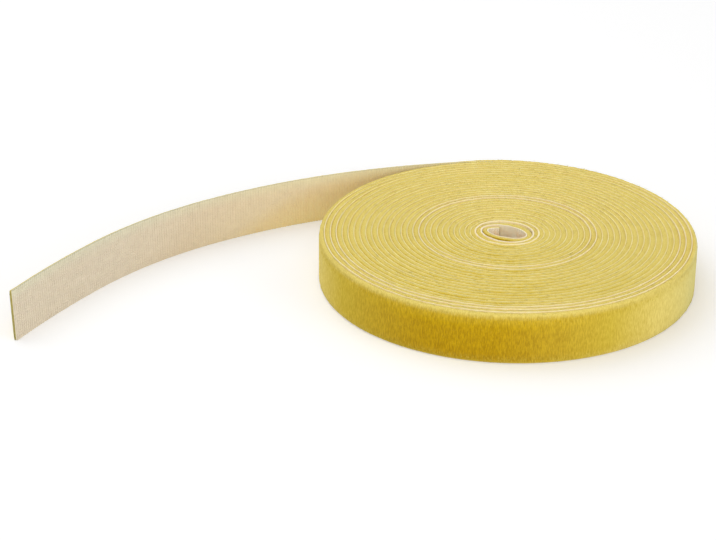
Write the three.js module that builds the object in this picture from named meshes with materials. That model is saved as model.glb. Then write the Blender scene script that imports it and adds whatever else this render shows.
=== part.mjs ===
// A coreless roll of back-to-back hook and loop tape. It lies flat, and its free tail stands off it on edge.
// Millimetres, +Z up. The origin is on the roll's axis, in the plane that the tape's lower edge stands on.
import * as THREE from "three";

const DEGREE = Math.PI / 180;

// The tape: a moulded hook film on the inside and a brushed loop fabric on the outside, bonded back to back
const TAPE_WIDTH = 19;
const HOOK_THICKNESS = 0.75;
const LOOP_THICKNESS = 1.3;
const BOND_GAP = 0.3;
const EDGE_FUZZ = 0.3; // how far the pile stands proud of the slit film, at each edge of the tape

// The winding: one flat spiral from the pressed, oval eye out to where the tail leaves
const ROLL_RADIUS = 71.15; // to the face of the loops, at the peel line
const LEAST_TURN_GAP = 0.28;
const EYE_LONG_RADIUS = 5.2; // half-axes of the eye, at the tape's inner end
const EYE_SHORT_RADIUS = 2.8;
const EYE_TILT = -14 * DEGREE; // of the eye's long axis, from +X
const PEEL_ANGLE = 97 * DEGREE; // where the tail leaves the roll, from +X
const STEPS_PER_TURN = 22;
const STEPS_IN_OUTER_TURN = 2 * STEPS_PER_TURN; // it shows, and its corners line up with those inside it

// The tail: three tangent arcs that bend the same way as the roll, shared out over equal links
const TAIL_ROOT_RADIUS = 230;
const TAIL_ROOT_LENGTH = 112;
const TAIL_MIDDLE_RADIUS = 160;
const TAIL_MIDDLE_LENGTH = 58;
const TAIL_END_RADIUS = 330;
const TAIL_END_LENGTH = 48;
const TAIL_LINKS = 4;
const STEPS_PER_LINK = 9;
const HINGE_CLEARANCE = 0.3; // between the round end of one link and the hollow end of the one before

// Depth is measured outwards from the face of the hooks
const HOOK_LAYER = { from: 0, to: HOOK_THICKNESS, edge: EDGE_FUZZ };
const LOOP_LAYER = {
  from: HOOK_THICKNESS + BOND_GAP,
  to: HOOK_THICKNESS + BOND_GAP + LOOP_THICKNESS,
  edge: 0,
};
const TAPE_THICKNESS = LOOP_LAYER.to;
const MID_DEPTH = TAPE_THICKNESS / 2;
const WOUND_DEPTH = ROLL_RADIUS - TAPE_THICKNESS - EYE_LONG_RADIUS;
const TURNS = Math.floor(WOUND_DEPTH / (TAPE_THICKNESS + LEAST_TURN_GAP)); // as many whole turns as fit
const PITCH = WOUND_DEPTH / TURNS;
const EYE_FLATTENING = EYE_LONG_RADIUS - EYE_SHORT_RADIUS; // it fades out towards the outer turn
const TAIL_ARCS = [
  { radius: TAIL_ROOT_RADIUS, length: TAIL_ROOT_LENGTH },
  { radius: TAIL_MIDDLE_RADIUS, length: TAIL_MIDDLE_LENGTH },
  { radius: TAIL_END_RADIUS, length: TAIL_END_LENGTH },
];
const TAIL_LENGTH = TAIL_ARCS.reduce((sum, arc) => sum + arc.length, 0);
const LINK_LENGTH = TAIL_LENGTH / TAIL_LINKS;
const HINGE_RADIUS = MID_DEPTH;
const SOCKET_RADIUS = HINGE_RADIUS + HINGE_CLEARANCE;

const loopFabric = new THREE.MeshStandardMaterial({ color: 0xd2b437, roughness: 0.95, metalness: 0 });
const hookFilm = new THREE.MeshStandardMaterial({ color: 0xdcc9a8, roughness: 0.55, metalness: 0 });

// A plan point of the winding. The turn counts from 0 at the inner end to TURNS at the peel line.
function woundPoint(turn, depth) {
  const angle = PEEL_ANGLE - 2 * Math.PI * (TURNS - turn) - EYE_TILT;
  const long = EYE_LONG_RADIUS + PITCH * turn + depth;
  const short = long - EYE_FLATTENING * (1 - turn / TURNS);
  const point = new THREE.Vector2(long * Math.cos(angle), short * Math.sin(angle));
  return point.rotateAround(new THREE.Vector2(), EYE_TILT);
}

// Place and heading of the tail's middle line, a given length from the peel line.
function tailPose(length) {
  const peelRadius = ROLL_RADIUS - MID_DEPTH;
  const rise = Math.atan(PITCH / (2 * Math.PI * peelRadius));
  const place = woundPoint(TURNS, MID_DEPTH);
  let heading = PEEL_ANGLE + Math.PI / 2 - rise;
  let rest = length;
  TAIL_ARCS.forEach((arc, index) => {
    const last = index === TAIL_ARCS.length - 1;
    const run = last ? rest : Math.min(rest, arc.length);
    const turned = heading + run / arc.radius;
    place.x += arc.radius * (Math.sin(turned) - Math.sin(heading));
    place.y -= arc.radius * (Math.cos(turned) - Math.cos(heading));
    heading = turned;
    rest -= run;
  });
  return { place, heading };
}

// A plan point of the tail. Its outward side, where the loops are, is to the right of its heading.
function tailPoint(length, depth) {
  const { place, heading } = tailPose(length);
  const outward = new THREE.Vector2(Math.sin(heading), -Math.cos(heading));
  return place.addScaledVector(outward, depth - MID_DEPTH);
}

// How far the circle of a hinge reaches along the tape, at a given depth.
function hingeReach(radius, depth) {
  return Math.sqrt(Math.max(0, radius ** 2 - (depth - MID_DEPTH) ** 2));
}

// Even steps from 0 up to a number of turns, which is left out.
function steps(turns, perTurn) {
  return Array.from({ length: Math.round(turns * perTurn) }, (_, step) => step / perTurn);
}

// One face of a wound layer, as plan points from the inner end to the hollow at the peel line.
function woundFace(depth) {
  const radius = ROLL_RADIUS - TAPE_THICKNESS + depth;
  const hollow = hingeReach(SOCKET_RADIUS, depth) / (2 * Math.PI * radius);
  const covered = steps(TURNS - 1, STEPS_PER_TURN);
  const outermost = steps(1, STEPS_IN_OUTER_TURN).map((turn) => TURNS - 1 + turn);
  return [...covered, ...outermost, TURNS - hollow].map((turn) => woundPoint(turn, depth));
}

// One face of a tail link, from its round end to the hollow for the next link, or to the tape's cut end.
function linkFace(link, depth) {
  const start = link * LINK_LENGTH - hingeReach(HINGE_RADIUS, depth);
  const next = (link + 1) * LINK_LENGTH;
  const end = link === TAIL_LINKS - 1 ? TAIL_LENGTH : next - hingeReach(SOCKET_RADIUS, depth);
  return Array.from({ length: STEPS_PER_LINK + 1 }, (_, step) =>
    tailPoint(start + ((end - start) * step) / STEPS_PER_LINK, depth),
  );
}

// A closed strip of tape that stands on edge between two faces, given as matching rows of plan points.
function stripGeometry(inner, outer, bottom, top) {
  const points = inner.flatMap((point, i) => [
    new THREE.Vector3(point.x, point.y, bottom),
    new THREE.Vector3(outer[i].x, outer[i].y, bottom),
    new THREE.Vector3(outer[i].x, outer[i].y, top),
    new THREE.Vector3(point.x, point.y, top),
  ]);
  const corners = 4;
  const faces = [];
  const quad = (a, b, c, d) => faces.push(a, b, c, a, c, d);
  for (let ring = 0; ring < inner.length - 1; ring += 1) {
    for (let corner = 0; corner < corners; corner += 1) {
      const here = ring * corners + corner;
      const beside = ring * corners + ((corner + 1) % corners);
      quad(here, here + corners, beside + corners, beside);
    }
  }
  const last = (inner.length - 1) * corners;
  quad(0, 1, 2, 3);
  quad(last + 3, last + 2, last + 1, last);
  const geometry = new THREE.BufferGeometry().setFromPoints(points);
  geometry.setIndex(faces);
  geometry.computeVertexNormals();
  return geometry;
}

// A named mesh of one layer, from a function that gives the plan points of a face at a depth.
function layerMesh(name, layer, material, faceAt) {
  const geometry = stripGeometry(
    faceAt(layer.from),
    faceAt(layer.to),
    layer.edge,
    TAPE_WIDTH - layer.edge,
  );
  const mesh = new THREE.Mesh(geometry, material);
  mesh.name = name;
  return mesh;
}

// The least distance from a wound layer's outer face to the inner face of its own later turns, on points.
function leastGap(layer) {
  const inner = woundFace(layer.from);
  const outer = woundFace(layer.to);
  const halfTurn = Math.round(STEPS_PER_TURN / 2);
  let least = Infinity;
  outer.forEach((point, i) => {
    inner.slice(i + halfTurn).forEach((other) => {
      least = Math.min(least, point.distanceTo(other));
    });
  });
  return least;
}

const tape = new THREE.Group();
tape.add(layerMesh("wound_hook_layer", HOOK_LAYER, hookFilm, woundFace));
tape.add(layerMesh("wound_loop_layer", LOOP_LAYER, loopFabric, woundFace));
for (let link = 0; link < TAIL_LINKS; link += 1) {
  const faceAt = (depth) => linkFace(link, depth);
  tape.add(layerMesh(`tail_hook_layer_${link + 1}`, HOOK_LAYER, hookFilm, faceAt));
  tape.add(layerMesh(`tail_loop_layer_${link + 1}`, LOOP_LAYER, loopFabric, faceAt));
}

console.log(`wound hook layer: least gap to itself ${leastGap(HOOK_LAYER).toFixed(2)} mm`);
console.log(`wound loop layer: least gap to itself ${leastGap(LOOP_LAYER).toFixed(2)} mm`);

export default tape;
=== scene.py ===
"""Looks of a coreless roll of back-to-back hook and loop tape with a free tail.

Metres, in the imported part's frame. Depth is measured outwards from the face of the part's hook layer.
"""
import math

import bpy
import numpy as np
from mathutils import Matrix, Vector


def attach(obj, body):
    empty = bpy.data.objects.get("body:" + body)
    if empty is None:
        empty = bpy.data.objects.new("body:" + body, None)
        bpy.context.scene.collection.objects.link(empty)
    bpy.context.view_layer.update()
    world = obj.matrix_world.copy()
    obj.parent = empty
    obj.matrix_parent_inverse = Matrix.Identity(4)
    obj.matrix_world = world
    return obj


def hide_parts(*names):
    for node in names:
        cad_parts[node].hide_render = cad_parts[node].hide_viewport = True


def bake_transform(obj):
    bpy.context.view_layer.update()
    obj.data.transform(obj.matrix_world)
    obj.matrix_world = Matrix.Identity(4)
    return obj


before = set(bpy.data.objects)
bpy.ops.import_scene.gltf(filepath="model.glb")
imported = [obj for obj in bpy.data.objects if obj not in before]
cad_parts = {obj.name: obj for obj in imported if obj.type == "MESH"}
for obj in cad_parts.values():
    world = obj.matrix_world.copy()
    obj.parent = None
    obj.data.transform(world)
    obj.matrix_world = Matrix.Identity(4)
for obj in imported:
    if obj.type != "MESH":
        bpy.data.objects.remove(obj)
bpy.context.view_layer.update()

MM = 0.001
UP = np.array([0, 0, 1])
RANDOM = np.random.default_rng(19)
MOST_SCATTER = 2  # of a scattered value, against its spread

# The tape's plan, in the part's own sizes
TAPE_WIDTH = 19 * MM
TAPE_THICKNESS = 2.35 * MM
MID_DEPTH = TAPE_THICKNESS / 2
ROLL_RADIUS = 71.15 * MM
PEEL_ANGLE = math.radians(97)
PEEL_RISE = math.radians(0.345)  # between the part's spiral and a circle, at the peel line
TAIL_ARCS = ((230 * MM, 112 * MM), (160 * MM, 58 * MM), (330 * MM, 48 * MM))  # radius and length
TAIL_LINKS = 4
TAIL_LENGTH = sum(run for _, run in TAIL_ARCS)
LINK_LENGTH = TAIL_LENGTH / TAIL_LINKS

# The winding: as many turns as the photo shows, from an eye flatter than the part's to the part's peel line
TURNS = 29
PITCH = 2.2 * MM
EYE_TILT = math.radians(-25)
EYE_FLATTENING = 2.5 * MM
EYE_FROM = 0.6  # turns after which the flattening fades out
EYE_TURNS = 1.3  # and over which it does
EYE_STRETCH = 1.0 * MM  # of its long half-axis
EYE_SHIFT = (-0.2 * MM, -0.9 * MM)  # of its middle from the roll's axis
SETTLE_TURNS = 7  # over which the stretch and the shift fade out

# Stations along the tape
LEAST_STEP = 0.45 * MM
MOST_STEP = 1.0 * MM
STEP_ANGLE = 0.09  # radians between the winding's stations, within those limits
FINE_STATIONS = 20001  # from which the winding's stations are picked
TAIL_STEP = 0.8 * MM

# Depths of the layers. The pile is fuller where the turns hold it up than on the free tail.
FILM_FROM = 0.5 * MM
FILM_TO = 0.86 * MM
THICK_GAIN = 0.25 * MM  # how much thicker the film is beside the eye
THICK_TURNS = (0.6, 3.2)
WOUND_PILE_TO = 2.72 * MM
LOOSE_PILE_TO = 2.25 * MM
LOOSE_TURNS = (0.15, 0.6)  # where the first turn stands clear of the second
FULL_FROM = 0.45  # turns after which the pile swells out to the next turn
FULL_TURNS = 0.15  # and over which it does
SWELL_SINK = 0.12  # how far the swollen pile sinks, against how far it swells
SWELL_PAINTED_SHADE = 2.8 * MM  # painted shade: the swelling that would make the swollen pile as dark as the face of the loops
FREE_PILE_TO = 1.5 * MM
CUT_PILE_TO = 1.8 * MM
CUT_REACH = 4 * MM  # how far from the cut end the pile is fuller
OPEN_LEAD = 1.05  # turns before the peel line at which the face of the loops begins to show
OPEN_TURNS = 0.1  # and over which it does

# Heights of the layers' upper edges, against the tape's width
FILM_RISE = 0.05 * MM  # of the film in the roll
FILM_WAVE = 0.15 * MM
FILM_WAVE_REACH = 18 * MM
FILM_RIPPLE = 0.09 * MM
FILM_RIPPLE_REACH = 2 * MM
TAIL_CALM = 0.7  # how much less the film's edge waves on the free tail
CRISP_LIFT = 0.28 * MM  # how much higher the film's edge stands in the turns where it shows as a crisp line
CRISP_TURNS = ((0.3, 3.2), (10.9, 13.5), (26.1, 26.9), (27.1, 27.9), (28.1, 28.9))
PILE_WAVE = 0.05 * MM
PILE_WAVE_REACH = 25 * MM
TAIL_PILE_DROP = 0.1 * MM
WOUND_ROUGHNESS = 0.08 * MM  # of the pile's upper edge in the roll
TAIL_ROUGHNESS = 0.03 * MM  # and on the free tail

# The free end of the tail leans: its lower edge stands further towards the hooks' side than its upper edge
END_LEAN = 1.4 * MM
LEAN_FROM = 80 * MM
END_SWAY = 0.7 * MM  # of the whole width
SWAY_FROM = 60 * MM
SWAY_RUN = 90 * MM

# The cut end is a little askew: its lower corner reaches further than its upper one
UPPER_CORNER_REACH = 0.95 * MM
LOWER_CORNER_REACH = 1.85 * MM
CUT_RUN = 30 * MM

# How far the tape bends on each side of a hinge's line, and over what length it comes free of the roll
PEEL_REACH = 7 * MM
FLEX_REACH = 22 * MM
FREE_RUN = 3 * PEEL_REACH

# Corners of the layers' sections: share of the thickness, and millimetres in from the nearer edge
LOOP_LOWER = ((0.0, 0.3), (0.3, 0.0), (0.7, 0.1), (0.88, 0.45), (0.97, 1.4), (1.0, 4.0))
LOOP_UPPER = ((1.0, 5.0), (0.975, 2.0), (0.89, 0.6), (0.7, 0.1), (0.45, 0.0), (0.15, 0.04), (0.0, 0.2))
COVERED_UPPER = (
    (1.0, 0.45), (0.97, 0.28), (0.88, 0.16), (0.7, 0.0), (0.45, -0.02), (0.15, 0.0), (0.0, 0.05)
)
UPPER_ROUGHNESS = (0, 0, 0, 0.7, 1, 1, 0)  # of the upper corners, against the most
FILM_LOWER = ((0.0, 0.5), (0.0, 0.05), (1.0, 0.05), (1.0, 0.5))
FILM_UPPER = ((1.0, 0.5), (1.0, 0.05), (0.5, 0.0), (0.0, 0.05), (0.0, 0.5))

# How much each of those corners has the colour of the tape's edges. On the outer turn's rounded rim this
# paleness is partly the paler tips and partly painted light and sheen from above.
LOWER_EDGE = (0.3, 0.2, 0.1, 0, 0, 0)
OPEN_EDGE = (0, 0.15, 0.85, 1, 1, 1, 0.6)
COVERED_EDGE = (0, 0, 0, 0.35, 1, 1, 0.8)
WOUND_FILM_EDGE = (0, 1, 1, 0, 1, 1, 1, 1, 1)
FREE_FILM_EDGE = (0, 1, 1, 0, 0, 1, 1, 1, 0)
LOOSE_PAINTED_LIGHT = 0.6  # painted light on the shaded pile that shows beside the eye, against the paleness of the outer turn's rim
TAIL_SLIT_LOSS = 0.85  # how much less of that colour the film's edges have on the free tail

# The hooks: one hook's outline, along the tape and inwards, and how hooks stand in rows
HOOK_OUTLINE = np.array(
    [(-0.25, -0.05), (0.25, -0.05), (0.16, 0.09), (0.34, 0.1), (0.32, 0.2), (0.02, 0.23), (-0.18, 0.12)]
) * MM
HOOK_WIDTH = 1.05 * MM
HOOK_STEP = 1.15 * MM
HOOK_ROWS = 16
HOOK_SCATTER = 0.03 * MM
HOOKED_REACH = 34 * MM  # how far from the inner end the eye shows hooks

# The pile is brushed along the tape, so it faces a little to one side. Near its edges it turns up or down.
NAP_LEAN = math.radians(12.5)
RIM_TILT = 0.45  # how much it faces up, at the rim
RIM_REACH = 6 * MM
FOOT_TILT = 0.4  # and down, at the foot
FOOT_REACH = 4 * MM

# Tufts of pile on the outer face: low ridges of five points
TUFTS_PER_SQUARE_MM = 2.4
TUFT_POINTS = 5
TUFT_FACES = [[0, 3, 4], [3, 1, 4], [1, 2, 4], [2, 0, 4], [0, 2, 1, 3]]
TUFT_FOOT = 0.9 * MM  # how far from the lower edge they begin
TUFT_RIM = 1.2 * MM  # and how far from the upper edge they end
TUFT_SINK = 0.04 * MM
TUFT_SWAY = 0.12  # radians from upright
TUFT_HALF_LENGTH = (0.4 * MM, 0.9 * MM)
TUFT_HALF_WIDTH = (0.1 * MM, 0.2 * MM)
TUFT_RISE = (0.06 * MM, 0.1 * MM)
TUFT_ROUNDING = 0.2
TUFT_PALENESS = (-0.04, 0.1)  # the least is cut off at 0
RIM_PALE_FROM = 2.8 * MM  # how far below the upper edge they begin to be paler: partly the paler tips, partly painted light and sheen on the rounded rim
RIM_PALE_RUN = 2.2 * MM

# Loops of pile that stand up along the upper edges: thin closed tubes along an arch
EDGE_FIBRES_PER_MM = 0.9
FIBRE_RADIUS = 0.05 * MM
FIBRE_STEPS = 3
FIBRE_SIDES = 3
FIBRE_POINTS = (FIBRE_STEPS + 1) * FIBRE_SIDES
FIBRE_ROUNDING = 0.3  # the rest of a fibre's shading is that of the pile it stands in
FIBRE_SINK = 0.12 * MM
FIBRE_DEPTHS = (0.15, 0.85)  # shares of the pile's thickness
FIBRE_TILT = 0.5  # radians from upright
FIBRE_SPAN = (0.4 * MM, 0.9 * MM)
FIBRE_RISE = (0.15 * MM, 0.45 * MM)
FIBRE_PALENESS = (0.8, 1.0)

# Values that the points of a mesh carry, for its material
EDGE_AND_PAINTED_LIGHT = "edge"  # how much a point has the pale colour of the tape's edges, from 0 to 1; on the pile it also carries painted light beside the eye and on the rim, and painted shade on the swollen pile
TINT_AND_PAINTED_LIGHT = "tint_and_light"  # of the film: 0 at the inner end, whiter there as painted light in the deep eye; 1/3 far from the roll; 2/3 to 1 beside it, top to bottom, a painted glow of yellow light bounced from the roll and let through the tape
TINT_AND_LIGHT_STEPS = 3
WHITE_REACH = 170 * MM  # how far from the inner end the film is whiter, painted light in the deep eye
CRISP_WHITE = 0.5  # how much less yellow the film is in the turns where its edge shows as a crisp line
GLOW_FROM = 175 * MM  # from the peel line, where the painted yellow glow begins to grow towards the roll
GLOW_RUN = 140 * MM

# Colours of the pile, linear, at the dark and the pale end of its combed mottle
COMB_LEVELS = (0.35, 0.65)
PILE_FACE = ((0.50, 0.313, 0.0013), (0.75, 0.503, 0.0045))
PILE_SIDES = ((0.575, 0.405, 0.034), (0.70, 0.535, 0.062))
PILE_TIPS = ((0.74, 0.57, 0.115), (0.89, 0.73, 0.215))
SIDE_SHEEN = (0.12, 0.40)  # how far from face on the sides of its fibres come to view
TIP_SHEEN = (0.40, 0.66)  # and their tips

# What the pile's face is multiplied by, by share of the tape's width: painted shade, darker towards the
# floor, and lighter towards the rim as painted light from above
PILE_PAINTED_SHADE = (
    (0, (0.70, 0.61, 0.75)),
    (0.3, (0.8, 0.735, 0.8)),
    (0.6, (0.8, 0.735, 0.8)),
    (1, (1, 1, 1)),
)

# Colours of the film by its tints and painted light, linear, at both ends of its mottle: pinker at the
# inner end, and whiter there as painted light in the eye; yellower and brighter beside the roll as a
# painted glow. Its slit edges use the first two tints.
TINT_AND_LIGHT_STOPS = (0, 1 / 3, 1 / 2, 2 / 3, 3 / 4, 1)
FILM_MOTTLE = (0.3, 0.7)
DARK_FACE = (
    (1.0, 0.72, 0.42),
    (0.755, 0.66, 0.505),
    (0.80, 0.67, 0.475),
    (0.90, 0.76, 0.51),
    (0.97, 0.785, 0.45),
    (1.0, 0.80, 0.33),
)
PALE_FACE = (
    (1.0, 0.87, 0.74),
    (0.825, 0.73, 0.57),
    (0.86, 0.73, 0.525),
    (0.96, 0.82, 0.56),
    (1.0, 0.84, 0.49),
    (1.0, 0.85, 0.38),
)
DARK_SLIT = ((0.97, 0.81, 0.57), (0.90, 0.72, 0.25))
PALE_SLIT = ((1.0, 0.92, 0.70), (1.0, 0.89, 0.41))

# What the film's face is multiplied by, by share of the tape's width: greener, then darker olive at the
# very top, painted shade along the upper edge
FILM_GREEN_AND_TOP_SHADE = (
    (0.75, (1, 1, 1)),
    (0.96, (1, 1.07, 1.055)),
    (0.98, (1, 1.07, 1.055)),
    (0.995, (0.75, 0.82, 0.76)),
)

# Noise of the materials: stretch along each axis, scale and detail
COMB_NOISE = ((1, 1, 0.22), 2400, 2)
PILE_BUMPS = ((1, 1, 0.4), 1800, 2)
MOTTLE_NOISE = ((1, 1, 1), 450, 3)
FILM_BUMPS = ((1, 1, 1), 2200, 1)
NOISE_ROUGHNESS = 0.6

# Relief of the materials: strength and distance
PILE_RELIEF = (0.2, 0.1 * MM)
FILM_RELIEF = (0.15, 0.1 * MM)

# Gloss of the materials: least and most roughness
PILE_GLOSS = (0.8, 0.95)
FILM_GLOSS = (0.45, 0.6)

# Sockets of a Mix node that hold its two colours and its result
MIX_FIRST = 6
MIX_SECOND = 7
MIX_RESULT = 2

# The photo's camera, from a pinhole fitted to the outlines of the roll and the tail. Angles are in radians.
PHOTO_WIDTH, PHOTO_HEIGHT = 716, 540
FOCAL_PIXELS = 2204.0
CAMERA_PITCH = 0.4387
CAMERA_ROLL = 0.0061
CAMERA_DISTANCE = 826.6 * MM
ROLL_CENTRE_PIXEL = (505.2, 254.9)
SENSOR_WIDTH = 36

# The floor, and its own white by distance from the roll's axis
FLOOR_HALF_SIZE = 3.0
FLOOR_GREY = 0.9
WHITE_FROM = 0.4
WHITE_TO = 1.2
NEAR_WHITE = 0.2
FAR_WHITE = 1.0

# Light: the world's strength, as a light and where it is seen, and each lamp's place, size and energy
WORLD_LIGHT = 0.53
WORLD_WHITE = 1.0
LAMPS = {
    "key": ((-0.5, 0.4, 1.0), 1.2, 5.5),
    "right_fill": ((1.0, -0.8, 0.3), 0.6, 4.0),
    "front_fill": ((-0.1, -1.2, 0.65), 0.8, 4.1),
}


def eased(value):
    """0 to 1 with a soft start and a soft end."""
    value = np.clip(value, 0, 1)
    return value * value * (3 - 2 * value)


def leaning(length, height):
    """How far the tape stands towards the hooks' side, at lengths from the peel line and heights."""
    lean = END_LEAN * eased((length - LEAN_FROM) / (TAIL_LENGTH - LEAN_FROM))
    return lean * (1 - height / TAPE_WIDTH) + END_SWAY * eased((length - SWAY_FROM) / SWAY_RUN)


def reaching(length, height):
    """How much further the askew cut end makes the tape reach, at lengths along it and heights on it."""
    low = 1 - height / TAPE_WIDTH
    corner = UPPER_CORNER_REACH + (LOWER_CORNER_REACH - UPPER_CORNER_REACH) * low
    return corner * eased((length - TAIL_LENGTH + CUT_RUN) / CUT_RUN)


def freed(length):
    """How free of the roll the tape is, at lengths from the peel line: 0 in the roll and 1 on the tail."""
    return eased((length + PEEL_REACH) / FREE_RUN)


def turned(points, angle):
    """Plan points turned about the roll's axis."""
    cosine, sine = math.cos(angle), math.sin(angle)
    return points @ np.array([[cosine, sine], [-sine, cosine]])


def ahead(out):
    """Headings along the tape, from its outward directions."""
    return np.column_stack([-out[:, 1], out[:, 0], np.zeros(len(out))])


def wound_line(turn):
    """Middle line of the winding. The turn counts from 0 at the inner end to TURNS at the peel line."""
    angle = PEEL_ANGLE - EYE_TILT - 2 * math.pi * (TURNS - turn)
    unsettled = 1 - eased(turn / SETTLE_TURNS)
    middle = ROLL_RADIUS - MID_DEPTH - PITCH * (TURNS - turn)
    long = middle + EYE_STRETCH * unsettled
    short = middle - EYE_FLATTENING * (1 - eased((turn - EYE_FROM) / EYE_TURNS))
    points = turned(np.stack([long * np.cos(angle), short * np.sin(angle)], axis=1), EYE_TILT)
    return points + np.outer(unsettled, EYE_SHIFT)


def arc_point(start, heading, radius, run):
    """Where an arc that turns to the left leads, from a start and a heading."""
    bent = heading + run / radius
    return np.stack(
        [
            start[0] + radius * (np.sin(bent) - math.sin(heading)),
            start[1] - radius * (np.cos(bent) - math.cos(heading)),
        ],
        axis=-1,
    )


def tail_line(length):
    """Middle line of the free tail, at lengths from the peel line."""
    start = wound_line(np.array([TURNS]))[0]
    heading = PEEL_ANGLE + math.pi / 2 - PEEL_RISE
    points = np.empty((len(length), 2))
    begun = 0
    for radius, run in TAIL_ARCS:
        here = length >= begun
        points[here] = arc_point(start, heading, radius, length[here] - begun)
        start = arc_point(start, heading, radius, run)
        heading += run / radius
        begun += run
    return points


def wound_turns(last):
    """Turns of the winding's stations, closer together in the tight inner turns."""
    fine = np.linspace(0, last, FINE_STATIONS)
    radius = ROLL_RADIUS - MID_DEPTH - PITCH * (TURNS - fine)
    pace = 2 * math.pi * radius / np.clip(STEP_ANGLE * radius, LEAST_STEP, MOST_STEP)
    count = np.concatenate([[0], np.cumsum((pace[1:] + pace[:-1]) / 2 * np.diff(fine))])
    return np.interp(np.linspace(0, count[-1], int(count[-1]) + 1), count, fine)


def seams():
    """Lengths at which the tape is cut into pieces: before the peel line, mid-link, and the free end."""
    middles = [(link + 0.5) * LINK_LENGTH for link in range(TAIL_LINKS - 1)]
    return [-PEEL_REACH, *middles, TAIL_LENGTH]


class Tape:
    """Stations along the tape, inner end first: plan points, normals and lengths from the peel line."""

    def __init__(self):
        circle = 2 * math.pi * (ROLL_RADIUS - MID_DEPTH)
        turns = wound_turns(TURNS - PEEL_REACH / circle)
        self.cuts = [len(turns) - 1]
        lengths = []
        for start, end in zip(seams(), seams()[1:]):
            steps = round((end - start) / TAIL_STEP)
            lengths.append(np.linspace(start, end, steps + 1)[1:])
            self.cuts.append(self.cuts[-1] + steps)
        free = np.concatenate(lengths)
        self.turn = np.concatenate([turns, TURNS + free / circle])
        near = wound_line(TURNS + free[free < 0] / circle)
        self.plan = np.concatenate([wound_line(turns), near, tail_line(free[free >= 0])])
        strides = np.linalg.norm(np.diff(self.plan, axis=0), axis=1)
        self.length = np.concatenate([[0], np.cumsum(strides)])
        self.length += TAIL_LENGTH - self.length[-1]
        heading = np.gradient(self.plan, axis=0)
        heading /= np.linalg.norm(heading, axis=1)[:, None]
        self.normal = np.stack([heading[:, 1], -heading[:, 0]], axis=1)

    def at(self, length, depth, height):
        """Points at lengths along the tape, depths in it and heights on it."""
        plan = np.stack([np.interp(length, self.length, self.plan[:, i]) for i in range(2)], axis=1)
        out = self.out(length)[:, :2]
        plan = plan + out * (depth - MID_DEPTH - leaning(length, height))[:, None]
        plan = plan + turned(out, math.pi / 2) * reaching(length, height)[:, None]
        return np.column_stack([plan, height])

    def out(self, length):
        """Outward directions at lengths along the tape."""
        normal = np.stack([np.interp(length, self.length, self.normal[:, i]) for i in range(2)], axis=1)
        normal /= np.linalg.norm(normal, axis=1)[:, None]
        return np.column_stack([normal, np.zeros(len(length))])


TAPE = Tape()


def smooth_noise(reach):
    """One random value per station, from -1 to 1, that changes slowly over a reach in metres."""
    knots = np.arange(TAPE.length[0], TAPE.length[-1] + 2 * reach, reach)
    return np.interp(TAPE.length, knots, RANDOM.uniform(-1, 1, len(knots)))


def scatter(shape):
    """Random values about 0 with a spread of 1, and none far out."""
    return RANDOM.normal(size=shape).clip(-MOST_SCATTER, MOST_SCATTER)


def within(first, last):
    """1 at the stations in the middle half between two turns, easing to 0 at both."""
    half = (last - first) / 2
    return eased(2 * (1 - np.abs(TAPE.turn - first - half) / half))


def outermost():
    """1 at the stations that no other turn covers, those of the tail too, and 0 at the covered ones."""
    return eased((TAPE.turn - TURNS + OPEN_LEAD) / OPEN_TURNS)


def swelling():
    """How far the pile swells out at each station, to fill the gap that the pressed eye leaves."""
    here, beyond = (np.linalg.norm(wound_line(TAPE.turn + turns), axis=1) for turns in (0, 1))
    return np.maximum(beyond - here - PITCH, 0) * eased((TAPE.turn - FULL_FROM) / FULL_TURNS)


def pile_depth():
    """Depth of the loops' face by station: full in the roll, thin on the tail, fuller at the cut end."""
    cut = eased((TAPE.length - TAIL_LENGTH + CUT_REACH) / CUT_REACH)
    free = FREE_PILE_TO + (CUT_PILE_TO - FREE_PILE_TO) * cut
    wound = WOUND_PILE_TO + (LOOSE_PILE_TO - WOUND_PILE_TO) * within(*LOOSE_TURNS)
    wound += swelling()
    return wound + (free - wound) * freed(TAPE.length)


def section(lower, upper, top):
    """Shares of thickness, and heights by station, of a section's corners, from the upper edge's height."""
    share = np.array([corner[0] for corner in (*lower, *upper)])
    low = np.array([corner[1] for corner in lower]) * MM
    high = top[:, None] - np.array([corner[1] for corner in upper]) * MM
    return share, np.concatenate([np.tile(low, (len(top), 1)), high], axis=1)


def rings(depth, height):
    """Section corners placed at every station of the tape."""
    length = TAPE.length[:, None]
    across = (depth - MID_DEPTH - leaning(length, height))[:, :, None] * TAPE.normal[:, None, :]
    along = reaching(length, height)[:, :, None] * turned(TAPE.normal, math.pi / 2)[:, None, :]
    return np.concatenate([TAPE.plan[:, None, :] + across + along, height[:, :, None]], axis=2)


def loop_rings():
    """The loop fabric: rounded, and rough along its upper edge."""
    lift = PILE_WAVE * smooth_noise(PILE_WAVE_REACH)
    top = TAPE_WIDTH - TAIL_PILE_DROP * freed(TAPE.length) - SWELL_SINK * swelling() + lift
    share, height = section(LOOP_LOWER, LOOP_UPPER, top)
    covered = section(LOOP_LOWER, COVERED_UPPER, top)[1]
    height = covered + (height - covered) * outermost()[:, None]
    depth = FILM_TO + share * (pile_depth() - FILM_TO)[:, None]
    upper = len(LOOP_LOWER)
    most = np.where(TAPE.length < 0, WOUND_ROUGHNESS, TAIL_ROUGHNESS)
    rough = np.outer(most, UPPER_ROUGHNESS)
    height[:, upper:] += rough * scatter(rough.shape)
    depth[:, upper:] += rough / 2 * scatter(rough.shape)
    return rings(depth, height)


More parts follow.
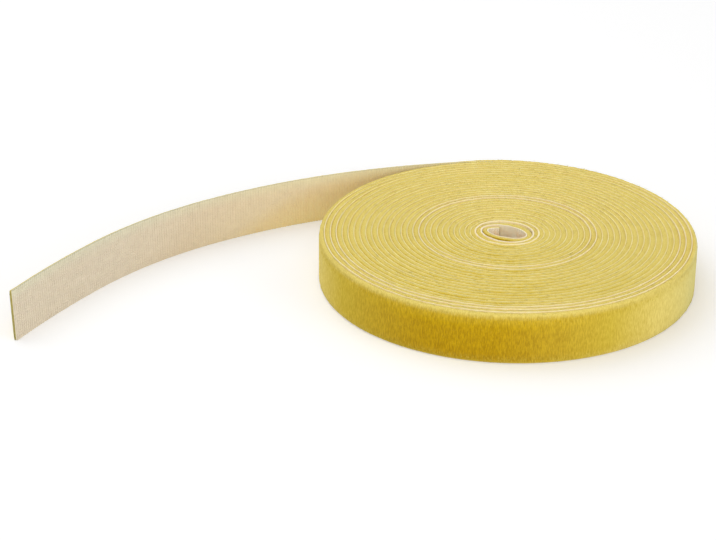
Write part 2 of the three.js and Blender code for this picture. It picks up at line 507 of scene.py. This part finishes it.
def film_rings():
    """The hook film: thin, with a crisp slit edge that stands a little higher in some places."""
    lift = FILM_WAVE * smooth_noise(FILM_WAVE_REACH) + FILM_RIPPLE * smooth_noise(FILM_RIPPLE_REACH)
    for first, last in CRISP_TURNS:
        lift += CRISP_LIFT * within(first, last)
    free = freed(TAPE.length)
    top = TAPE_WIDTH + FILM_RISE * (1 - free) + lift * (1 - TAIL_CALM * free)
    share, height = section(FILM_LOWER, FILM_UPPER, top)
    thickness = FILM_TO - FILM_FROM + THICK_GAIN * within(*THICK_TURNS)
    depth = FILM_FROM + share * thickness[:, None]
    return rings(depth, height)


def strip(corners):
    """A closed strip through rings of corners, as points and faces."""
    stations, around = corners.shape[:2]
    index = np.arange(stations * around).reshape(stations, around)
    beside = np.roll(index, -1, axis=1)
    quads = np.stack([index[:-1], index[1:], beside[1:], beside[:-1]], axis=2).reshape(-1, 4)
    faces = quads.tolist() + [index[0].tolist(), index[-1, ::-1].tolist()]
    return corners.reshape(-1, 3), faces


def copies(points, faces):
    """Points and faces of many like bodies, from points by body and the faces of one."""
    bodies, corners = points.shape[:2]
    moved = [[corner + body * corners for corner in face] for body in range(bodies) for face in faces]
    return points.reshape(-1, 3), moved


def joined(*parts):
    """Several points and faces as one."""
    points, faces, begun = [], [], 0
    for some, theirs in parts:
        points.append(some)
        faces += [[corner + begun for corner in face] for face in theirs]
        begun += len(some)
    return np.concatenate(points), faces


def hooks(start, end):
    """Rows of moulded hooks on the film between two lengths, and the length of each of their points."""
    lengths = np.arange(math.ceil(start / HOOK_STEP), math.floor(end / HOOK_STEP) + 1) * HOOK_STEP
    share = (np.arange(HOOK_ROWS) + 0.5) / HOOK_ROWS
    rows = share * (TAPE_WIDTH + 2 * FILM_RISE) - FILM_RISE
    length, height = (grid.ravel() for grid in np.meshgrid(lengths, rows))
    length = length + HOOK_SCATTER * scatter(len(length))
    length = length.clip(start, end)
    base = TAPE.at(length, np.full(len(length), FILM_FROM), height)
    out = TAPE.out(length)
    return hook_bodies(base, ahead(out), -out), np.repeat(length, 2 * len(HOOK_OUTLINE))


def hook_bodies(base, along, inward):
    """Hooks that stand at base points, each an outline with a width up the tape."""
    side = along[:, None] * HOOK_OUTLINE[None, :, :1] + inward[:, None] * HOOK_OUTLINE[None, :, 1:]
    up = UP * HOOK_WIDTH / 2
    points = np.concatenate([base[:, None] + side - up, base[:, None] + side + up], axis=1)
    count = len(HOOK_OUTLINE)
    beside = [(i + 1) % count for i in range(count)]
    faces = [[i, beside[i], beside[i] + count, i + count] for i in range(count)]
    faces += [list(range(count))[::-1], list(range(count, 2 * count))]
    return copies(points, [face[::-1] for face in faces])


def tube_faces():
    """Faces of one fibre, a closed tube of rings."""
    index = np.arange(FIBRE_POINTS).reshape(FIBRE_STEPS + 1, FIBRE_SIDES)
    beside = np.roll(index, -1, axis=1)
    quads = np.stack([index[:-1], beside[:-1], beside[1:], index[1:]], axis=2).reshape(-1, 4)
    return quads.tolist() + [index[0, ::-1].tolist(), index[-1].tolist()]


def fibres(base, out, along, span, height):
    """Small loops of pile that rise from base points along arches, and the normals of their points."""
    share = np.linspace(0, 1, FIBRE_STEPS + 1)
    across = np.cross(along, out)
    run = along[:, None] * (span[:, None] * (share - 0.5))[:, :, None]
    rise = out[:, None] * (height[:, None] * np.sin(math.pi * share))[:, :, None]
    climb = out[:, None] * (height[:, None] * math.pi * np.cos(math.pi * share))[:, :, None]
    slope = along[:, None] * span[:, None, None] + climb
    slope /= np.linalg.norm(slope, axis=2)[:, :, None]
    over = np.cross(slope, across[:, None])
    around = np.arange(FIBRE_SIDES) * 2 * math.pi / FIBRE_SIDES
    ring = across[:, None, None] * np.cos(around)[:, None] + over[:, :, None] * np.sin(around)[:, None]
    points = (base[:, None] + run + rise)[:, :, None] + FIBRE_RADIUS * ring
    normals = out[:, None, None] + FIBRE_ROUNDING * ring
    normals /= np.linalg.norm(normals, axis=3)[:, :, :, None]
    return copies(points.reshape(len(base), -1, 3), tube_faces()), normals.reshape(-1, 3)


def nap(out):
    """Which way the brushed pile faces, from outward directions."""
    return np.column_stack([turned(out[:, :2], NAP_LEAN), out[:, 2]])


def tuft_normals(out, across, height):
    """Normals of tufts by point, from their outward and sideways directions and heights."""
    face = nap(out)
    face[:, 2] += RIM_TILT * eased((height - TAPE_WIDTH + RIM_REACH) / RIM_REACH)
    face[:, 2] -= FOOT_TILT * eased((FOOT_REACH - height) / FOOT_REACH)
    side = TUFT_ROUNDING * across
    normals = np.stack([face, face, face - side, face + side, face], axis=1)
    normals /= np.linalg.norm(normals, axis=2)[:, :, None]
    return normals.reshape(-1, 3)


def face_tufts(start, end):
    """Tufts of brushed pile on the outer face, between two lengths: low ridges combed up and down."""
    number = round((end - start) * TAPE_WIDTH / MM**2 * TUFTS_PER_SQUARE_MM)
    length = RANDOM.uniform(start, end, number)
    height = RANDOM.uniform(TUFT_FOOT, TAPE_WIDTH - TUFT_RIM, number)
    out = TAPE.out(length)
    lean = RANDOM.normal(math.pi / 2, TUFT_SWAY, number)[:, None]
    along = ahead(out) * np.cos(lean) + UP * np.sin(lean)
    across = np.cross(along, out)
    depth = np.interp(length, TAPE.length, pile_depth()) - TUFT_SINK
    base = TAPE.at(length, depth, height)
    half = along * RANDOM.uniform(*TUFT_HALF_LENGTH, (number, 1))
    side = across * RANDOM.uniform(*TUFT_HALF_WIDTH, (number, 1))
    crest = base + out * RANDOM.uniform(*TUFT_RISE, (number, 1))
    points = np.stack([base - half, base + half, base - side, base + side, crest], axis=1)
    return copies(points, TUFT_FACES), tuft_normals(out, across, height)


def edge_fibres(start, end):
    """Loops of pile that stand up along the upper edge, between two lengths."""
    number = round((end - start) / MM * EDGE_FIBRES_PER_MM)
    length = RANDOM.uniform(start, end, number)
    out = TAPE.out(length)
    heading = ahead(out)
    face = np.interp(length, TAPE.length, pile_depth())
    depth = FILM_TO + (face - FILM_TO) * RANDOM.uniform(*FIBRE_DEPTHS, number)
    tilt = RANDOM.normal(0, FIBRE_TILT, number)[:, None]
    up = UP * np.cos(tilt) + out * np.sin(tilt)
    spin = RANDOM.uniform(0, math.pi, number)[:, None]
    along = heading * np.cos(spin) + np.cross(up, heading) * np.sin(spin)
    span = RANDOM.uniform(*FIBRE_SPAN, number)
    rise = RANDOM.uniform(*FIBRE_RISE, number)
    height = TAPE_WIDTH - FIBRE_SINK - SWELL_SINK * np.interp(length, TAPE.length, swelling())
    return fibres(TAPE.at(length, depth, height), up, along, span, rise)


def node(tree, kind, **inputs):
    """A shader node with some of its inputs set, by name."""
    made = tree.nodes.new(kind)
    for name, value in inputs.items():
        made.inputs[name.replace("_", " ")].default_value = value
    return made


def place_on(tree, scale):
    """The object's own coordinates, stretched by a scale along each axis."""
    coordinates = tree.nodes.new("ShaderNodeTexCoord")
    mapping = node(tree, "ShaderNodeMapping", Scale=scale)
    tree.links.new(coordinates.outputs["Object"], mapping.inputs["Vector"])
    return mapping.outputs["Vector"]


def noise(tree, stretch, scale, detail):
    """A value of noise over the object's own coordinates."""
    place = place_on(tree, stretch)
    made = node(tree, "ShaderNodeTexNoise", Scale=scale, Detail=detail, Roughness=NOISE_ROUGHNESS)
    tree.links.new(place, made.inputs["Vector"])
    return made.outputs["Factor"] if "Factor" in made.outputs else made.outputs["Fac"]


def ramp(tree, value, stops):
    """A colour ramp over a value, from pairs of position and colour."""
    made = tree.nodes.new("ShaderNodeValToRGB")
    elements = made.color_ramp.elements
    while len(elements) < len(stops):
        elements.new(0.5)
    for element, (position, colour) in zip(elements, stops):
        element.position = position
        element.color = (*colour, 1)
    tree.links.new(value, made.inputs["Fac"])
    return made.outputs["Color"]


def new_material(name):
    """A material with nodes, its tree and its main shader."""
    made = bpy.data.materials.new(name)
    made.use_nodes = True
    return made, made.node_tree, made.node_tree.nodes["Principled BSDF"]


def bump(tree, shader, value, strength, distance):
    """Makes a value's relief show on a shader."""
    made = node(tree, "ShaderNodeBump", Strength=strength, Distance=distance)
    tree.links.new(value, made.inputs["Height"])
    tree.links.new(made.outputs["Normal"], shader.inputs["Normal"])


def roughness(tree, shader, value, low, high):
    """Makes a shader's roughness follow a value between two limits."""
    made = node(tree, "ShaderNodeMapRange", To_Min=low, To_Max=high)
    tree.links.new(value, made.inputs["Value"])
    tree.links.new(made.outputs["Result"], shader.inputs["Roughness"])


def mix_node(tree, first, second):
    """A node that mixes two colours."""
    made = tree.nodes.new("ShaderNodeMix")
    made.data_type = "RGBA"
    tree.links.new(first, made.inputs[MIX_FIRST])
    tree.links.new(second, made.inputs[MIX_SECOND])
    return made


def mixed(tree, factor, first, second):
    """A mix of two colours by a factor."""
    made = mix_node(tree, first, second)
    tree.links.new(factor, made.inputs["Factor"])
    return made.outputs[MIX_RESULT]


def colour_times(tree, colour, tint_and_light):
    """A colour times another."""
    made = mix_node(tree, colour, tint_and_light)
    made.blend_type = "MULTIPLY"
    made.inputs["Factor"].default_value = 1
    return made.outputs[MIX_RESULT]


def height_share(tree):
    """How high a place on the tape is, from 0 at its lower edge to 1 at its upper edge."""
    made = tree.nodes.new("ShaderNodeSeparateXYZ")
    tree.links.new(place_on(tree, (1, 1, 1 / TAPE_WIDTH)), made.inputs[0])
    return made.outputs["Z"]


def mark(tree, name):
    """A value that the points of a mesh carry, by its name."""
    made = tree.nodes.new("ShaderNodeAttribute")
    made.attribute_name = name
    return made.outputs["Fac"]


def spread(tree, value, low, high):
    """A value stretched so that two limits become 0 and 1."""
    made = node(tree, "ShaderNodeMapRange", From_Min=low, From_Max=high)
    tree.links.new(value, made.inputs["Value"])
    return made.outputs["Result"]


def velvet(tree, low, high):
    """The sheen of upright pile: 0 where it is seen face on, and 1 where it is seen from its side."""
    facing = node(tree, "ShaderNodeLayerWeight", Blend=0.5)
    return spread(tree, facing.outputs["Facing"], low, high)


def loop_material():
    """Brushed yellow loop pile: combed up and down the tape, mottled, paler seen from its side, with
    painted shade darker towards the floor and painted light towards the rim.
    """
    made, tree, shader = new_material("loop_pile")
    combed = noise(tree, *COMB_NOISE)
    face, sides, tips = (
        ramp(tree, combed, tuple(zip(COMB_LEVELS, colours)))
        for colours in (PILE_FACE, PILE_SIDES, PILE_TIPS)
    )
    # Painted shade: darker towards the floor, and lighter towards the rim as painted light from above.
    face = colour_times(tree, face, ramp(tree, height_share(tree), PILE_PAINTED_SHADE))
    pale = mixed(tree, velvet(tree, *SIDE_SHEEN), face, sides)
    pale = mixed(tree, velvet(tree, *TIP_SHEEN), pale, tips)
    tree.links.new(mixed(tree, mark(tree, EDGE_AND_PAINTED_LIGHT), pale, tips), shader.inputs["Base Color"])
    roughness(tree, shader, combed, *PILE_GLOSS)
    bump(tree, shader, noise(tree, *PILE_BUMPS), *PILE_RELIEF)
    shader.inputs["Sheen Weight"].default_value = 0.4
    shader.inputs["Sheen Roughness"].default_value = 0.3
    shader.inputs["Sheen Tint"].default_value = (0.9, 1.0, 0.6, 1)
    shader.inputs["Specular IOR Level"].default_value = 0.15
    return made


def film_colour(tree, mottle, tint_and_light, dark, pale):
    """A colour of the film by its tints and painted light, from its dark colours to its pale ones by its
    mottle.
    """
    ends = [ramp(tree, tint_and_light, tuple(zip(TINT_AND_LIGHT_STOPS, colours))) for colours in (dark, pale)]
    return mixed(tree, mottle, *ends)


def film_material():
    """Pale, satin moulded film with a slight mottle.

    The yellow of the pile shines through its edges. Beside the roll its face is yellower and brighter, more
    at the foot:
    a painted glow of light bounced from the roll and let through the tape. Near the inner end it is whiter:
    painted light in the deep eye.
    """
    made, tree, shader = new_material("hook_film")
    mottle = noise(tree, *MOTTLE_NOISE)
    share = spread(tree, mottle, *FILM_MOTTLE)
    tint_and_light = mark(tree, TINT_AND_PAINTED_LIGHT)
    face = film_colour(tree, share, tint_and_light, DARK_FACE, PALE_FACE)
    slit = film_colour(tree, share, tint_and_light, DARK_SLIT, PALE_SLIT)
    # Greener near the top, then darker olive at the very top: painted shade along the upper edge.
    face = colour_times(tree, face, ramp(tree, height_share(tree), FILM_GREEN_AND_TOP_SHADE))
    tree.links.new(mixed(tree, mark(tree, EDGE_AND_PAINTED_LIGHT), face, slit), shader.inputs["Base Color"])
    roughness(tree, shader, mottle, *FILM_GLOSS)
    bump(tree, shader, noise(tree, *FILM_BUMPS), *FILM_RELIEF)
    shader.inputs["Specular IOR Level"].default_value = 0.35
    return made


def piece(name, shape, material, marks, smooth=True, normals=None):
    """A mesh object from points and faces. Marks are named values of the points, for the material."""
    points, faces = shape
    mesh = bpy.data.meshes.new(name)
    mesh.from_pydata(points.tolist(), [], faces)
    mesh.polygons.foreach_set("use_smooth", np.full(len(faces), smooth))
    mesh.materials.append(material)
    for label, values in marks.items():
        mesh.attributes.new(label, "FLOAT", "POINT").data.foreach_set("value", values.astype(np.float32))
    mesh.update()
    if normals is not None:
        mesh.normals_split_custom_set_from_vertices(normals.tolist())
    made = bpy.data.objects.new(name, mesh)
    bpy.context.collection.objects.link(made)
    return made


def loop_edge_and_painted_light(first, last):
    """How much the points of a loop strip between two stations have the colour of its edges, with painted
    light on the loose pile beside the eye and painted shade on the swollen pile there.
    """
    free = np.array(LOWER_EDGE + OPEN_EDGE)
    covered = np.array(LOWER_EDGE + COVERED_EDGE)
    # Painted light on the shaded pile that shows in the gap beside the eye.
    open_and_painted_light = np.maximum(outermost(), LOOSE_PAINTED_LIGHT * within(*LOOSE_TURNS))
    marks = covered + np.outer(open_and_painted_light[first:last], free - covered)
    # Painted shade on the swollen pile beside the eye, darker the more it swells.
    return (marks * (1 - swelling()[first:last, None] / SWELL_PAINTED_SHADE)).ravel()


def film_edge(length):
    """How much the points of a film strip have the colour of its slit edges, at its stations' lengths."""
    wound = np.array(WOUND_FILM_EDGE)
    loose = np.array(FREE_FILM_EDGE) * (1 - TAIL_SLIT_LOSS)
    return (wound + np.outer(freed(length), loose - wound)).ravel()


def film_tint_and_light(length, height):
    """The film's tints and painted light, at lengths along the tape and heights on it: whiter near the
    inner end as painted light in the deep eye, less yellow in the turns with crisp edges, and a painted
    yellow glow beside the roll, more at the foot.
    """
    crisp = np.interp(length, TAPE.length, sum(within(*turns) for turns in CRISP_TURNS))
    # Whiter near the inner end: painted light in the deep eye.
    inner = eased((length - TAPE.length[0]) / WHITE_REACH) * (1 - CRISP_WHITE * crisp)
    # Yellower and brighter beside the roll, more at the foot: a painted glow of light bounced from the roll
    # and let through the tape, which also lifts the shade by the peel line.
    beside = eased((GLOW_FROM - length) / GLOW_RUN) * (length > -PEEL_REACH)
    low = 1 - height / TAPE_WIDTH
    return (inner + beside * (1 + low)) / TINT_AND_LIGHT_STEPS


def loop_normals(corners):
    """Normals of a loop strip, ring by ring: those of its section, turned to the nap."""
    around = np.roll(corners, -1, axis=1) - np.roll(corners, 1, axis=1)
    along = np.gradient(corners, axis=0)
    normal = np.cross(along, around)
    normal /= np.linalg.norm(normal, axis=2)[:, :, None]
    return nap(normal.reshape(-1, 3))


def loop_piece(name, first, last):
    """The loop fabric between two stations."""
    corners = LOOP_RINGS[first:last]
    marks = {EDGE_AND_PAINTED_LIGHT: loop_edge_and_painted_light(first, last)}
    normals = loop_normals(corners)
    return piece(name, strip(corners), LOOP_MATERIAL, marks, normals=normals)


def film_piece(name, first, last, hooked_to):
    """The hook film between two stations, with its hooks up to a length."""
    corners = FILM_RINGS[first:last]
    rows, places = hooks(TAPE.length[first], hooked_to)
    shape = joined(strip(corners), rows)
    length = TAPE.length[first:last]
    marks = {
        EDGE_AND_PAINTED_LIGHT: np.concatenate([film_edge(length), np.zeros(len(places))]),
        TINT_AND_PAINTED_LIGHT: film_tint_and_light(np.concatenate([np.repeat(length, corners.shape[1]), places]), shape[0][:, 2]),
    }
    return piece(name, shape, FILM_MATERIAL, marks, smooth=False)


def pile_piece(name, shape, shade, normals):
    """Pile of many small bodies, from the shades of their points."""
    return piece(name, shape, LOOP_MATERIAL, {EDGE_AND_PAINTED_LIGHT: shade.clip(0, 1)}, normals=normals)


def face_pile(name, start, end):
    """The brushed pile on the outer face between two lengths, paler towards the upper edge: partly the
    paler tips there, partly painted light and sheen on the rounded rim.
    """
    shape, normals = face_tufts(start, end)
    height = shape[0][:, 2]
    shade = np.repeat(RANDOM.uniform(*TUFT_PALENESS, len(height) // TUFT_POINTS), TUFT_POINTS)
    # Paler towards the rim: partly the paler tips, partly painted light and sheen on the rounded rim.
    rim = eased((height - TAPE_WIDTH + RIM_PALE_FROM) / RIM_PALE_RUN)
    return pile_piece(name, shape, np.maximum(shade, rim), normals)


def edge_pile(name, start, end):
    """The loops of pile along the upper edge between two lengths."""
    shape, normals = edge_fibres(start, end)
    shade = np.repeat(RANDOM.uniform(*FIBRE_PALENESS, len(shape[0]) // FIBRE_POINTS), FIBRE_POINTS)
    return pile_piece(name, shape, shade, normals)


def roll_pieces():
    """The wound length: loop fabric, hook film, and the pile on the outer turn and the upper edges."""
    end = TAPE.cuts[0] + 1
    inner, outer = TAPE.length[0], TAPE.length[end - 1]
    loop = loop_piece("roll_loop_fabric", 0, end)
    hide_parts("wound_loop_layer")
    film = film_piece("roll_hook_film", 0, end, inner + HOOKED_REACH)
    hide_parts("wound_hook_layer")
    last_turn = outer - 2 * math.pi * ROLL_RADIUS
    wall = face_pile("roll_wall_pile", last_turn, outer)
    fuzz = edge_pile("roll_edge_pile", inner, outer)
    for made in (loop, film, wall, fuzz):
        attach(made, "roll")


def hinge_zone(link):
    """Where the tape begins and ends to bend at the hinge before a link."""
    reach = FLEX_REACH if link else PEEL_REACH
    place = np.array([link * LINK_LENGTH])
    heading = Vector(ahead(TAPE.out(place))[0])
    middle = Vector(TAPE.at(place, np.array([MID_DEPTH]), np.array([TAPE_WIDTH / 2]))[0])
    return middle - reach * heading, middle + reach * heading


def tail_pieces(link):
    """The tape about the hinge before a link: loop fabric, pile, and film with its hooks."""
    first, last = TAPE.cuts[link], TAPE.cuts[link + 1] + 1
    start, end = TAPE.length[first], TAPE.length[last - 1]
    number = link + 1
    loop = loop_piece(f"tail_loop_fabric_{number}", first, last)
    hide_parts(f"tail_loop_layer_{number}")
    film = film_piece(f"tail_hook_film_{number}", first, last, end)
    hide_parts(f"tail_hook_layer_{number}")
    pile = face_pile(f"tail_pile_{number}", start, end)
    for made in (loop, film, pile):
        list(hinge_zone(link))
        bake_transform(made)


def make_camera():
    """Puts the photo's camera in the scene."""
    forward = Vector((0, math.cos(CAMERA_PITCH), -math.sin(CAMERA_PITCH)))
    level = Vector((1, 0, 0))
    upright = level.cross(forward)
    right = math.cos(CAMERA_ROLL) * level + math.sin(CAMERA_ROLL) * upright
    up = math.cos(CAMERA_ROLL) * upright - math.sin(CAMERA_ROLL) * level
    pixel = CAMERA_DISTANCE / FOCAL_PIXELS
    aside = (ROLL_CENTRE_PIXEL[0] - PHOTO_WIDTH / 2) * pixel
    above = (PHOTO_HEIGHT / 2 - ROLL_CENTRE_PIXEL[1]) * pixel
    centre = Vector((0, 0, TAPE_WIDTH / 2))
    place = centre - aside * right - above * up - CAMERA_DISTANCE * forward
    lens = bpy.data.cameras.new("camera")
    lens.sensor_width = SENSOR_WIDTH
    lens.lens = FOCAL_PIXELS / PHOTO_WIDTH * SENSOR_WIDTH
    camera = bpy.data.objects.new("camera", lens)
    camera.matrix_world = Matrix.Translation(place) @ Matrix((right, up, -forward)).transposed().to_4x4()
    bpy.context.collection.objects.link(camera)
    bpy.context.scene.camera = camera


def maths(tree, operation, first, second):
    """The result of a maths operation on two values."""
    made = tree.nodes.new("ShaderNodeMath")
    made.operation = operation
    tree.links.new(first, made.inputs[0])
    tree.links.new(second, made.inputs[1])
    return made.outputs[0]


def seen_directly(tree):
    """1 for rays from the camera, and for those that glossy and clear surfaces send on, and otherwise 0."""
    path = tree.nodes.new("ShaderNodeLightPath")
    total = path.outputs["Is Camera Ray"]
    for name in ("Is Glossy Ray", "Is Transmission Ray"):
        total = maths(tree, "MAXIMUM", total, path.outputs[name])
    return total


def floor_material():
    """White that keeps the shadow.

    Part of it is the floor's own, where it is seen directly. Far from the object, where the lamps don't
    reach, most of it is.
    """
    made, tree, shader = new_material("floor_white")
    shader.inputs["Base Color"].default_value = (FLOOR_GREY, FLOOR_GREY, FLOOR_GREY, 1)
    shader.inputs["Roughness"].default_value = 1
    shader.inputs["Specular IOR Level"].default_value = 0
    shader.inputs["Emission Color"].default_value = (1, 1, 1, 1)
    distance = tree.nodes.new("ShaderNodeVectorMath")
    distance.operation = "LENGTH"
    tree.links.new(place_on(tree, (1, 1, 1)), distance.inputs[0])
    white = node(
        tree,
        "ShaderNodeMapRange",
        From_Min=WHITE_FROM,
        From_Max=WHITE_TO,
        To_Min=NEAR_WHITE,
        To_Max=FAR_WHITE,
    )
    tree.links.new(distance.outputs["Value"], white.inputs["Value"])
    own = maths(tree, "MULTIPLY", seen_directly(tree), white.outputs["Result"])
    tree.links.new(own, shader.inputs["Emission Strength"])
    return made


def make_floor():
    """A wide white floor."""
    size = FLOOR_HALF_SIZE
    mesh = bpy.data.meshes.new("floor")
    corners = [(-size, -size, 0), (size, -size, 0), (size, size, 0), (-size, size, 0)]
    mesh.from_pydata(corners, [], [[0, 1, 2, 3]])
    mesh.materials.append(floor_material())
    floor = bpy.data.objects.new("floor", mesh)
    bpy.context.collection.objects.link(floor)


def make_lamp(name, place, size, energy):
    """A large soft square lamp that faces the object."""
    lamp = bpy.data.lights.new(name, "AREA")
    lamp.size = size
    lamp.energy = energy
    made = bpy.data.objects.new(name, lamp)
    made.location = place
    made.rotation_euler = (Vector((0, 0, 0)) - Vector(place)).to_track_quat("-Z", "Y").to_euler()
    bpy.context.collection.objects.link(made)


def make_light():
    """Even light from all round, white where it is seen directly, and large soft lamps."""
    world = bpy.data.worlds.new("studio")
    bpy.context.scene.world = world
    world.use_nodes = True
    tree = world.node_tree
    back = tree.nodes["Background"]
    back.inputs["Color"].default_value = (1, 1, 1, 1)
    level = node(tree, "ShaderNodeMapRange", To_Min=WORLD_LIGHT, To_Max=WORLD_WHITE)
    tree.links.new(seen_directly(tree), level.inputs["Value"])
    tree.links.new(level.outputs["Result"], back.inputs["Strength"])
    for name, (place, size, energy) in LAMPS.items():
        make_lamp(name, place, size, energy)


LOOP_MATERIAL = loop_material()
FILM_MATERIAL = film_material()
LOOP_RINGS = loop_rings()
FILM_RINGS = film_rings()

make_camera()
roll_pieces()
for link in range(TAIL_LINKS):
    tail_pieces(link)
make_floor()
make_light()
bpy.context.scene.view_settings.view_transform = "Standard"
